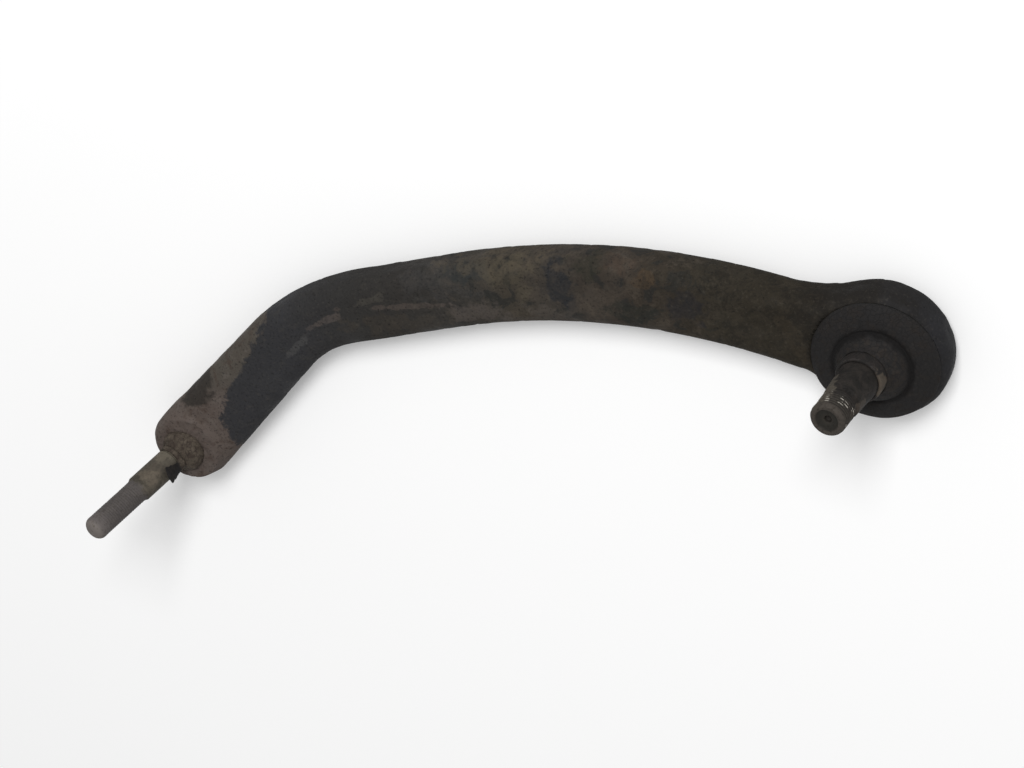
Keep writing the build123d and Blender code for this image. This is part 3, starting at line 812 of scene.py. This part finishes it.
# %% A finish and its nodes
class Finish:
    """A procedural material: its nodes, its Object coordinates and its main shader."""

    def __init__(self, name, **numbers):
        self.material = bpy.data.materials.new(name)
        self.material.use_nodes = True
        self.nodes = self.material.node_tree.nodes
        self.links = self.material.node_tree.links
        self.shader = self.nodes["Principled BSDF"]
        self.place = self.node("ShaderNodeTexCoord", {}, {}, "Object")
        for socket, number in numbers.items():
            self.shader.inputs[socket.replace("_", " ")].default_value = number

    def node(self, kind, settings, inputs, output=0):
        """Any node: its settings first, then the values or links of its sockets."""
        made = self.nodes.new(kind)
        for key, value in settings.items():
            setattr(made, key, value)
        for key, value in inputs.items():
            if isinstance(value, Level):
                self.links.new(value.socket, made.inputs[key])
            else:
                made.inputs[key].default_value = value
        return Level(self, made.outputs[output])

    def noise(self, size, detail=3.0, rough=0.55, warp=0.0):
        """Blender's noise with features of a size in metres, from 0 to 1."""
        inputs = {"Vector": self.place, "Scale": 1 / size, "Detail": detail, "Roughness": rough}
        return self.node("ShaderNodeTexNoise", {}, {**inputs, "Distortion": warp})

    def wobble(self, size, height, detail=4.0, rough=0.55, warp=0.0):
        """The same noise about zero, of a full height: it makes an edge ragged."""
        return (self.noise(size, detail, rough, warp) - 0.5) * height

    def rises(self, low, high, level):
        """Mask that goes smoothly from 0 at low to 1 at high."""
        settings = {"interpolation_type": "SMOOTHSTEP"}
        return self.node("ShaderNodeMapRange", settings, {"Value": level, 1: low, 2: high})

    def spots(self, low, high, size, detail=3.0, rough=0.55, warp=0.0):
        """Mask of the places where a noise goes from the low level to the high one."""
        return self.rises(low, high, self.noise(size, detail, rough, warp))

    def mix(self, mask, first, second):
        """First colour where the mask is 0, second where it is 1."""
        inputs = {0: mask, 6: first, 7: second}
        return self.node("ShaderNodeMix", {"data_type": "RGBA"}, inputs, 2)

    def coated(self, colour, *coats):
        """A colour with others laid over it in turn, each one where its mask lets it."""
        for mask, tint in coats:
            colour = self.mix(mask, colour, paint(*tint))
        return colour

    def ramp(self, level, stops):
        """Colours at their places along a level that runs from 0 to 1."""
        made = self.node("ShaderNodeValToRGB", {}, {"Fac": level})
        ramp = made.socket.node.color_ramp
        while len(ramp.elements) < len(stops):
            ramp.elements.new(0.5)
        for element, (position, tint) in zip(ramp.elements, stops):
            element.position, element.color = position, paint(*tint)
        return made

    def part(self, axis, where=None):
        """One coordinate, in metres."""
        return self.node("ShaderNodeSeparateXYZ", {}, {0: where or self.place}, axis)

    def patch(self, centre, radii, turn, ragged, size):
        """Mask of an uneven oval: distance in radii, disturbed by a noise. Millimetres."""
        mapped = self.node(
            "ShaderNodeMapping",
            {"vector_type": "TEXTURE"},
            {
                "Vector": self.place,
                "Location": tuple(v * MM for v in centre),
                "Rotation": (0.0, 0.0, math.radians(turn)),
                "Scale": tuple(v * MM for v in radii),
            },
        )
        far = self.node("ShaderNodeVectorMath", {"operation": "LENGTH"}, {0: mapped}, 1)
        return self.rises(1.15, 0.75, far + self.wobble(size, 2.0 * ragged))

    def bump(self, level, depth):
        """Normals of a relief whose full height is depth, in metres."""
        inputs = {"Height": level, "Distance": depth, "Strength": 1.0}
        return self.node("ShaderNodeBump", {}, inputs)

    def done(self, **sockets):
        """Links the shader's sockets and gives the material."""
        for name, level in sockets.items():
            self.links.new(level.socket, self.shader.inputs[name.replace("_", " ")])
        print(f"{self.material.name}: {len(self.nodes)} nodes")
        return self.material


# %% Screen colours, and putting a finish on
def paint(red, green, blue):
    """Linear colour with an alpha of one, from its values on a screen, 0 to 255."""
    screen = np.array([red, green, blue]) / 255.0
    linear = np.where(screen <= 0.04045, screen / 12.92, ((screen + 0.055) / 1.055) ** 2.4)
    return (*(float(v) for v in linear), 1.0)


def dress(mesh, material):
    """Gives a mesh this material and no other."""
    mesh.materials.clear()
    mesh.materials.append(material)


# %% [markdown]
# ## The forging's finish
# The arm is nearly black, but no two places are the same black: rust and road dust at the
# inner end, a blue-black oily stretch behind the bend, ochre dust along the top of the
# arch, olive brown towards the head. A ramp along the length gives those regions, with its
# edges broken up by a noise. Ovals set at measured places add stains, rust spots, and pale
# streaks along the top edges that are partly wear and partly painted highlight where the
# rounded edge catches light; a last mask eats into their edges, because a whole oval looks
# like paint. The rust of the inner end stops at a ragged line of its own. Fine speckle and
# pits are the same on all of it, and dust lies mostly where the surface faces up.

# %% Regions along the arm
RAMP_START, RAMP_SPAN = 0.376, 0.408
steel = Finish("forged_steel_old", Specular_IOR_Level=0.12)
x_along, y_across = steel.part(0), steel.part(1)
wander = steel.wobble(0.016, 0.050, 4.0, 0.62, warp=0.6)
colour = steel.ramp(
    (x_along + wander + RAMP_START) / RAMP_SPAN,
    [
        (0.000, (45, 45, 47)),
        (0.240, (45, 45, 47)),
        (0.333, (42, 41, 40)),
        (0.420, (43, 41, 39)),
        (0.480, (49, 47, 44)),
        (0.540, (57, 52, 45)),
        (0.600, (52, 48, 44)),
        (0.680, (51, 45, 39)),
        (0.760, (43, 39, 32)),
        (0.835, (38, 34, 27)),
        (0.872, (27, 24, 20)),
        (0.940, (25, 23, 21)),
        (1.000, (35, 35, 37)),
    ],
)
in_middle = steel.rises(-0.215, -0.180, x_along) * steel.rises(-0.045, -0.085, x_along)
near_head = steel.rises(-0.100, -0.060, x_along) * steel.rises(-0.004, -0.020, x_along)
mottle = steel.noise(0.0105, 5.0, 0.66, warp=0.9)
scabs = steel.noise(0.0056, 6.0, 0.72, warp=0.8)
colour = steel.coated(
    colour,
    (steel.rises(0.52, 0.60, mottle) * in_middle * 0.72, (32, 33, 32)),
    (steel.rises(0.47, 0.37, mottle) * in_middle * 0.42, (70, 63, 55)),
    (steel.rises(0.51, 0.58, scabs) * near_head * 0.50, (25, 23, 19)),
    (steel.rises(0.46, 0.38, scabs) * near_head * 0.20, (60, 54, 45)),
)

# %% Stains, scrapes and painted edge highlights
broken = 0.60 + steel.spots(0.38, 0.60, 0.0036, 5.0, 0.7) * 0.40
for centre, radii, turn, strength, tint in (
    # The first five ovals are thin pale streaks along the top edges: partly wear, partly painted
    # highlight where the rounded edge catches light.
    ((-254, 56, 20), (9, 2.0, 9), 12, 0.42, (92, 83, 78)),
    ((-273, 46, 20), (9, 1.8, 9), 30, 0.34, (82, 81, 80)),
    ((-228, 63, 20), (10, 2.2, 9), 12, 0.34, (80, 76, 69)),
    ((-211, 58, 20), (24, 1.5, 9), -6, 0.40, (88, 78, 72)),
    ((-303, 57, 20), (19, 2.6, 10), 37, 0.50, (88, 84, 78)),
    ((-190, 68, 22), (20, 9, 9), -8, 0.16, (72, 71, 72)),
    ((-216, 50, 14), (30, 7, 14), -4, 0.42, (57, 51, 44)),
    ((-178, 50, 16), (18, 6, 14), -5, 0.48, (82, 75, 71)),
    ((-146, 44, 16), (14, 5, 14), -6, 0.42, (80, 74, 69)),
    ((-175, 71, 22), (9, 7, 8), 0, 0.72, (38, 41, 41)),
    ((-157, 81, 20), (36, 12, 18), -5, 0.36, (84, 75, 61)),
    ((-153, 66, 22), (9, 10, 9), 10, 0.40, (74, 68, 56)),
    ((-131, 57, 22), (7, 11, 11), 15, 0.92, (34, 35, 37)),
    ((-115, 64, 22), (9, 6, 10), -10, 0.65, (38, 38, 31)),
    ((-102, 63, 22), (9, 5, 9), -10, 0.30, (72, 57, 46)),
    ((-92, 54, 22), (5, 3.6, 9), 0, 0.34, (76, 60, 42)),
    ((-117, 46, 20), (11, 9, 12), 10, 0.34, (72, 64, 56)),
    ((-99, 39, 16), (14, 6, 13), -14, 0.75, (32, 33, 29)),
    ((-76, 38, 20), (9, 8, 12), 0, 0.65, (31, 31, 34)),
    ((-32, 14, 22), (4, 18, 10), 8, 0.26, (60, 52, 41)),
):
    mask = steel.patch(centre, radii, turn, 1.7, 0.008) * broken * strength
    colour = steel.coated(colour, (mask, tint))

# %% Rust of the inner end
edge_line = steel.rises(0.008, 0.070, y_across) * 0.045 - 0.330
ragged = steel.wobble(0.010, 0.026, 6.0, 0.68, warp=0.4)
rust_zone = steel.rises(0.0016, -0.0016, x_along + ragged - edge_line)
rust_spots = steel.noise(0.0065, 6.0, 0.68, warp=0.5)
rust_tone = steel.coated(
    paint(84, 75, 70),
    (steel.rises(0.020, 0.036, y_across), (73, 68, 62)),
    (steel.rises(0.50, 0.66, rust_spots) * 0.6, (62, 50, 43)),
    (steel.rises(0.46, 0.34, rust_spots) * 0.4, (97, 90, 85)),
)
colour = steel.mix(rust_zone * 0.95, colour, rust_tone)

# %% Oil, dust and grain
oil = steel.patch((-340, 30, 20), (13, 10.5, 14), 20, 0.8, 0.007)
dust = steel.spots(0.50, 0.78, 0.0045, 6.0, 0.7)
upward = steel.rises(0.1, 0.9, steel.part(2, steel.node("ShaderNodeTexCoord", {}, {}, "Normal")))
grain = steel.noise(0.0012, 3.0, 0.6)
speck = steel.spots(0.72, 0.78, 0.0011, 2.0, 0.5)
pit = steel.spots(0.36, 0.22, 0.0017, 2.0, 0.6)
colour = steel.coated(
    colour,
    (oil * 0.88, (42, 39, 36)),
    (dust * (0.04 + 0.12 * upward), (96, 90, 80)),
    (steel.rises(0.54, 0.70, grain) * 0.58, (22, 21, 20)),
    (steel.rises(0.42, 0.28, grain) * 0.13, (98, 92, 84)),
    (speck * 0.09, (116, 108, 97)),
    (pit * 0.6, (18, 17, 16)),
)
relief = steel.noise(0.0030, 5.0, 0.62) * 0.6 - pit * 0.5 + steel.noise(0.0007, 2.0) * 0.18
oily = steel.spots(0.48, 0.66, 0.019, 3.0, 0.5)
steel_material = steel.done(
    Base_Color=colour,
    Roughness=(0.84 - 0.20 * oily + 0.08 * dust).clamped(),
    Metallic=(0.08 * oily).clamped(),
    Normal=steel.bump(relief, 0.00040),
)
dress(arm.data, steel_material)

# %% [markdown]
# ## Stud steel
# Both studs get the same recipe with their own colours. The outer one is nearly black with
# grease, and only some crests of its thread and the rim of its tip are rubbed bright. The
# inner one is pale: ochre dust on the shank, grey oxide on the thread, and painted light
# that lightens the shank towards the barrel where the barrel's shadow falls. The distance
# from the stud's own axis tells crest from root. Texture coordinates are moved to the ball's
# centre and turned so that Z runs along the stud, so zones begin at a length along it.


# %% Along a stud
def along_stud(finish, centre, axis):
    """Object coordinates as seen from the ball's centre, with Z along the stud."""
    spin = Vector(axis).to_track_quat("Z", "Y").to_euler("XYZ")
    return finish.node(
        "ShaderNodeMapping",
        {"vector_type": "TEXTURE"},
        {"Vector": finish.place, "Location": tuple(c * MM for c in centre), "Rotation": tuple(spin)},
    )


def stud_radius(finish, local):
    """Distance from the stud's axis, in metres."""
    flat = finish.node("ShaderNodeVectorMath", {"operation": "MULTIPLY"}, {0: local, 1: (1, 1, 0)})
    return finish.node("ShaderNodeVectorMath", {"operation": "LENGTH"}, {0: flat}, 1)


# %% Recipe for stud steel
def stud_finish(name, centre, axis, dark, light, root, crest, tip, rim_tint, dish_tint, zones, marks):
    """Stained steel: stains, zones along the stud, marks at places, dirty roots, worn tip.

    crest: where the thread begins and is full, its crests' radius, the strength of the dirt
    in its roots and of its bright spots. tip: where the tip begins and is full, and the
    radii inside which its dish is full and outside which there is none.
    """
    thread_start, thread_full, crest_radius, root_dirt, brightness = crest
    tip_start, tip_full, dish_full, dish_edge = tip
    stud = Finish(name, Specular_IOR_Level=0.20)
    local = along_stud(stud, centre, axis)
    radius, length = stud_radius(stud, local), stud.part(2, local)
    tone = stud.coated(paint(*dark), (stud.spots(0.36, 0.66, 0.0048, 5.0, 0.65, warp=0.6), light))
    for begin, end, strength, tint in zones:
        ragged = stud.wobble(0.004, 0.008, 5.0, 0.65)
        in_zone = stud.rises(begin * MM, end * MM, length + ragged)
        tone = stud.coated(tone, (in_zone * strength, tint))
    for place, radii, strength, tint in marks:
        tone = stud.coated(tone, (stud.patch(place, radii, 0.0, 1.2, 0.004) * strength, tint))
    crumbs = stud.spots(0.50, 0.70, 0.0013, 4.0, 0.6)
    on_thread = stud.rises(thread_start * MM, thread_full * MM, length)
    at_tip = stud.rises(tip_start * MM, tip_full * MM, length)
    in_root = stud.rises((crest_radius - 0.10) * MM, (crest_radius - 0.40) * MM, radius) * on_thread
    on_crest = stud.rises((crest_radius - 0.16) * MM, (crest_radius - 0.03) * MM, radius) * on_thread
    in_dish = at_tip * stud.rises(dish_edge * MM, dish_full * MM, radius)
    rubbed = (on_crest * stud.spots(0.56, 0.64, 0.0030, 3.0, 0.5) * brightness).clamped()
    tone = stud.coated(tone, (crumbs * 0.4, root), (in_root * (1 - at_tip) * root_dirt, root))
    tone = stud.mix(at_tip * 0.85, tone, stud.coated(paint(*rim_tint), (crumbs * 0.8, light)))
    tone = stud.coated(tone, (in_dish, dish_tint), (rubbed, (200, 194, 184)))
    relief = stud.noise(0.0012, 4.0, 0.6) + 0.5 * stud.noise(0.0004, 2.0)
    return stud.done(
        Base_Color=tone,
        Roughness=(0.70 + 0.2 * crumbs - 0.35 * rubbed).clamped(),
        Metallic=(0.10 + 0.75 * rubbed).clamped(),
        Normal=stud.bump(relief, 0.00014),
    )


# %% Both studs
outer_stud_material = stud_finish(
    "outer_stud_stained",
    OUTER_CENTRE,
    OUTER_STUD_AXIS,
    dark=(20, 18, 16),
    light=(37, 33, 30),
    root=(19, 17, 15),
    crest=(42.5, 44.0, 8.0, 0.7, 0.65),
    tip=(53.6, 54.8, 4.6, 5.6),
    rim_tint=(60, 55, 50),
    dish_tint=(31, 29, 25),
    zones=[(44.0, 50.0, 0.45, (66, 61, 54))],
    marks=[
        ((-9.5, 9.7, 60), (5, 6, 13), 0.65, (82, 76, 68)),
        ((2.6, -1.0, 60), (3, 3, 9), 0.40, (78, 70, 62)),
    ],
)
inner_stud_material = stud_finish(
    "inner_stud_stained",
    INNER_CENTRE,
    INNER_AXIS,
    dark=(56, 52, 45),
    light=(81, 75, 66),
    root=(52, 49, 44),
    crest=(40.0, 41.5, 5.85, 0.5, 0.0),
    tip=(68.0, 70.0, -2.0, -1.0),
    rim_tint=(107, 101, 97),
    dish_tint=(60, 56, 54),
    zones=[
        # Lighter towards the barrel's mouth: painted light that offsets the shadow the barrel casts
        # on the shank.
        (34.0, 15.0, 0.45, (88, 82, 73)),
        (17.0, 11.0, 0.80, (64, 57, 50)),
        (38.5, 41.5, 0.75, (75, 71, 71)),
        (60.0, 68.0, 0.60, (98, 92, 90)),
    ],
    marks=[
        ((-361, 4, 36), (6, 5, 5), 0.40, (110, 103, 90)),
        ((-363.5, 2, 47), (5, 5, 6), 0.36, (106, 96, 84)),
        ((-365, 4, 44), (4, 4, 4), 0.55, (58, 54, 48)),
        ((-357.5, 0, 41), (5, 5, 5), 0.50, (62, 58, 52)),
    ],
)
dress(outer_stud.data, outer_stud_material)
dress(inner_stud.data, inner_stud_material)

# %% [markdown]
# ## Rubber, and the small steel parts
# Old rubber is matt black with brown dust in its folds and a faint bloom. The crease of the
# big boot and the low side of the rubber at the small joint are darkened as painted shade.
# Plated or pressed steel is duller, with its own rust, and the neck ring has a painted
# highlight on its right side. The hidden plastic seats are pale, but grimy at the small
# joint's open mouth. Each is a sum of a few noises; what differs is the size of the marks.

# %% Rubber
rubber = Finish("rubber_dusty", Specular_IOR_Level=0.10)
grime = rubber.spots(0.44, 0.72, 0.0055, 5.0, 0.66, warp=0.4)
bloom = rubber.spots(0.52, 0.72, 0.0016, 3.0, 0.6)
from_stud = stud_radius(rubber, rubber.place) + rubber.wobble(0.005, 0.004, 4.0, 0.6)
# A near-black band round the crease between the boot's dome and its neck: painted shade for the
# shadow in the crease.
painted_crease_shade = rubber.rises(0.0150, 0.0166, from_stud) * rubber.rises(0.0196, 0.0178, from_stud)
at_neck = rubber.rises(0.0160, 0.0145, from_stud) * rubber.spots(0.46, 0.60, 0.0026, 4.0)
skin_tone = rubber.coated(
    paint(31, 30, 30),
    (grime, (38, 35, 33)),
    (bloom * 0.30, (52, 49, 46)),
    (painted_crease_shade * 0.75, (14, 13, 13)),
    (at_neck * 0.5, (45, 40, 36)),
)
inner_end = rubber.rises(-0.30, -0.31, rubber.part(0))
along_shank = rubber.part(2, along_stud(rubber, INNER_CENTRE, INNER_AXIS))
crusted = inner_end * rubber.rises(0.0185, 0.0160, along_shank + rubber.wobble(0.003, 0.004))
crust_spots = rubber.spots(0.40, 0.62, 0.0028, 5.0, 0.66)
crust_tone = rubber.coated(paint(82, 74, 65), (crust_spots, (60, 52, 46)))
skin_tone = rubber.mix(crusted * 0.92, skin_tone, crust_tone)
# foot: the rubber at the small joint is darker below a height, on the barrel's low side. This is
# painted shade for the dark gap at the barrel's mouth.
foot = inner_end * rubber.rises(0.0262, 0.0236, rubber.part(2) + rubber.wobble(0.003, 0.002))
cells = {"Vector": rubber.place, "Scale": 420.0}
cell_edge = rubber.node("ShaderNodeTexVoronoi", {"feature": "DISTANCE_TO_EDGE"}, cells)
crack = rubber.rises(0.06, 0.0, cell_edge)
rubber_relief = rubber.noise(0.0009, 4.0, 0.6) * 0.5 - crack * 0.5
rubber_material = rubber.done(
    Base_Color=rubber.coated(skin_tone, (foot * 0.70, (40, 34, 30)), (crack * 0.4, (18, 18, 18))),
    Roughness=(0.74 + 0.2 * grime).clamped(),
    Normal=rubber.bump(rubber_relief, 0.00018),
)
for obj in (boot, bead, rag, dirt):
    dress(obj.data, rubber_material)


# %% Plain parts
def plain_finish(name, first, second, size, roughness, metallic, depth):
    """Two tones in patches of a size, with a fine relief."""
    made = Finish(name, Specular_IOR_Level=0.3)
    patches = made.spots(0.38, 0.66, size, 5.0, 0.62, warp=0.5)
    fine = made.noise(size / 6, 3.0, 0.6)
    return made.done(
        Base_Color=made.coated(paint(*first), (patches, second)),
        Roughness=(roughness + 0.15 * patches).clamped(),
        Metallic=(metallic - 0.3 * metallic * patches).clamped(),
        Normal=made.bump(fine, depth),
    )


# %% Clamp, washers and covers
looks = (
    ("clamp_wire", "clamp_wire_dull", (66, 62, 58), (48, 40, 34), 0.0030, 0.5, 0.60, 0.00006),
    ("spring_steel", "spring_steel_blued", (78, 78, 82), (58, 54, 52), 0.0050, 0.4, 0.80, 0.00004),
    ("cover_steel", "cover_steel_rusty", (62, 58, 54), (82, 60, 44), 0.0060, 0.6, 0.35, 0.00015),
)
finishes = {slot_name: plain_finish(*look) for slot_name, *look in looks}

# %% Seats
seat = Finish("seat_plastic_pale", Specular_IOR_Level=0.3, Roughness=0.5)
seat_spots = seat.spots(0.38, 0.66, 0.006, 5.0)
seat_tone = seat.coated(paint(196, 190, 172), (seat_spots, (176, 166, 142)))
mouth_grime = seat.rises(0.0165, 0.0190, seat.part(2) + seat.wobble(0.004, 0.002))
grime_spots = seat.spots(0.40, 0.60, 0.003, 5.0)
grime_tone = seat.coated(paint(76, 67, 60), (grime_spots, (54, 46, 40)))
finishes["seat_plastic"] = seat.done(Base_Color=seat.mix(mouth_grime, seat_tone, grime_tone))

# %% Ring
ring_coat = Finish("ring_steel_with_painted_highlight", Specular_IOR_Level=0.25)
ring_stain = ring_coat.spots(0.40, 0.62, 0.0030, 5.0, 0.65, warp=0.5)
# A light patch on the ring's right side, made a little metallic: a painted highlight where its edge
# faces the light.
ring_painted_highlight = ring_coat.patch((7.0, -1.5, 40), (3, 7, 5), 0.0, 1.2, 0.003)
finishes["ring_steel"] = ring_coat.done(
    Base_Color=ring_coat.coated(
        paint(32, 28, 26), (ring_stain, (22, 20, 19)), (ring_painted_highlight * 0.65, (88, 79, 69))
    ),
    Roughness=(0.66 + 0.2 * ring_stain).clamped(),
    Metallic=(0.25 * ring_painted_highlight).clamped(),
    Normal=ring_coat.bump(ring_coat.noise(0.0009, 4.0, 0.6), 0.00014),
)
dress(ring.data, finishes["ring_steel"])

# %% Finishes of the hidden parts
carried = {
    "outer_boot_clamp": "clamp_wire",
    "outer_ball_seat": "seat_plastic",
    "inner_ball_seat": "seat_plastic",
    "outer_preload_washer": "spring_steel",
    "inner_preload_washer": "spring_steel",
    "outer_cover_plate": "cover_steel",
    "inner_cover_plate": "cover_steel",
}
for node, slot_name in carried.items():
    dress(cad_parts[node].data, finishes[slot_name])
print("finishes:", sorted(m.name for m in bpy.data.materials if m.users))

# %% [markdown]
# ## Floor, sky and lamp
# The picture has a white ground with one soft shadow, down and to the right. One square
# lamp gives it: it stands on the camera's side, at a lower angle than the camera, because
# the shadow of a steeper lamp would hide behind the arm. The sky is white where the camera
# or a reflection sees it and dimmer as a light, so dark steel keeps its darkness. The floor
# is a pale matt plane that also glows a little for the camera, which lifts it to white and
# still lets the shadow show.

# %% Floor
FLOOR_HALF, FLOOR_HEIGHT = 3.0, -0.0004
floor_corners = [
    (x * FLOOR_HALF, y * FLOOR_HALF, FLOOR_HEIGHT) for x, y in ((-1, -1), (1, -1), (1, 1), (-1, 1))
]
floor_mesh = bpy.data.meshes.new("floor")
floor_mesh.from_pydata(floor_corners, [], [(0, 1, 2, 3)])
floor = bpy.data.objects.new("floor", floor_mesh)
bpy.context.collection.objects.link(floor)
ground = Finish("floor_pale", Specular_IOR_Level=0.0, Roughness=1.0)
ground.shader.inputs["Base Color"].default_value = (0.86, 0.86, 0.86, 1.0)
seen = ground.node("ShaderNodeLightPath", {}, {}, "Is Camera Ray")
ground.shader.inputs["Emission Color"].default_value = (1.0, 1.0, 1.0, 1.0)
ground.links.new((seen * 0.17).socket, ground.shader.inputs["Emission Strength"])
floor_mesh.materials.append(ground.material)
print("floor lies at", FLOOR_HEIGHT, "m")

# %% Sky
AMBIENT = 0.40
world = bpy.data.worlds.new("sky")
bpy.context.scene.world = world
world.use_nodes = True
sky = world.node_tree.nodes["Background"]
sky.inputs["Color"].default_value = (1.0, 1.0, 1.0, 1.0)


def sky_sum(operation, *terms):
    """A Math node of the sky, from sockets and numbers."""
    made = world.node_tree.nodes.new("ShaderNodeMath")
    made.operation = operation
    for entry, term in zip(made.inputs, terms):
        if isinstance(term, float):
            entry.default_value = term
        else:
            world.node_tree.links.new(term, entry)
    return made.outputs[0]


rays = world.node_tree.nodes.new("ShaderNodeLightPath").outputs
seen_or_mirrored = sky_sum("MAXIMUM", rays["Is Camera Ray"], rays["Is Glossy Ray"])
looked_at = sky_sum("MAXIMUM", seen_or_mirrored, rays["Is Transmission Ray"])
strength = sky_sum("MULTIPLY_ADD", looked_at, 1.0 - AMBIENT, AMBIENT)
world.node_tree.links.new(strength, sky.inputs["Strength"])
print("sky lights with", AMBIENT, "of the white it shows")


# %% Lamp
def lamp(name, place, target, size, power):
    """Square area lamp that looks at a target; places in metres, power in watts."""
    data = bpy.data.lights.new(name, "AREA")
    data.energy, data.size = power, size
    made = bpy.data.objects.new(name, data)
    bpy.context.collection.objects.link(made)
    made.location = place
    made.rotation_euler = (Vector(target) - Vector(place)).to_track_quat("-Z", "Y").to_euler()
    print(f"{name}: {power} W from {place}")


lamp("key_lamp", (0.95, 1.80, 2.16), (-0.18, 0.03, 0.0), 0.95, 73.0)
bpy.context.scene.view_settings.view_transform = "Standard"
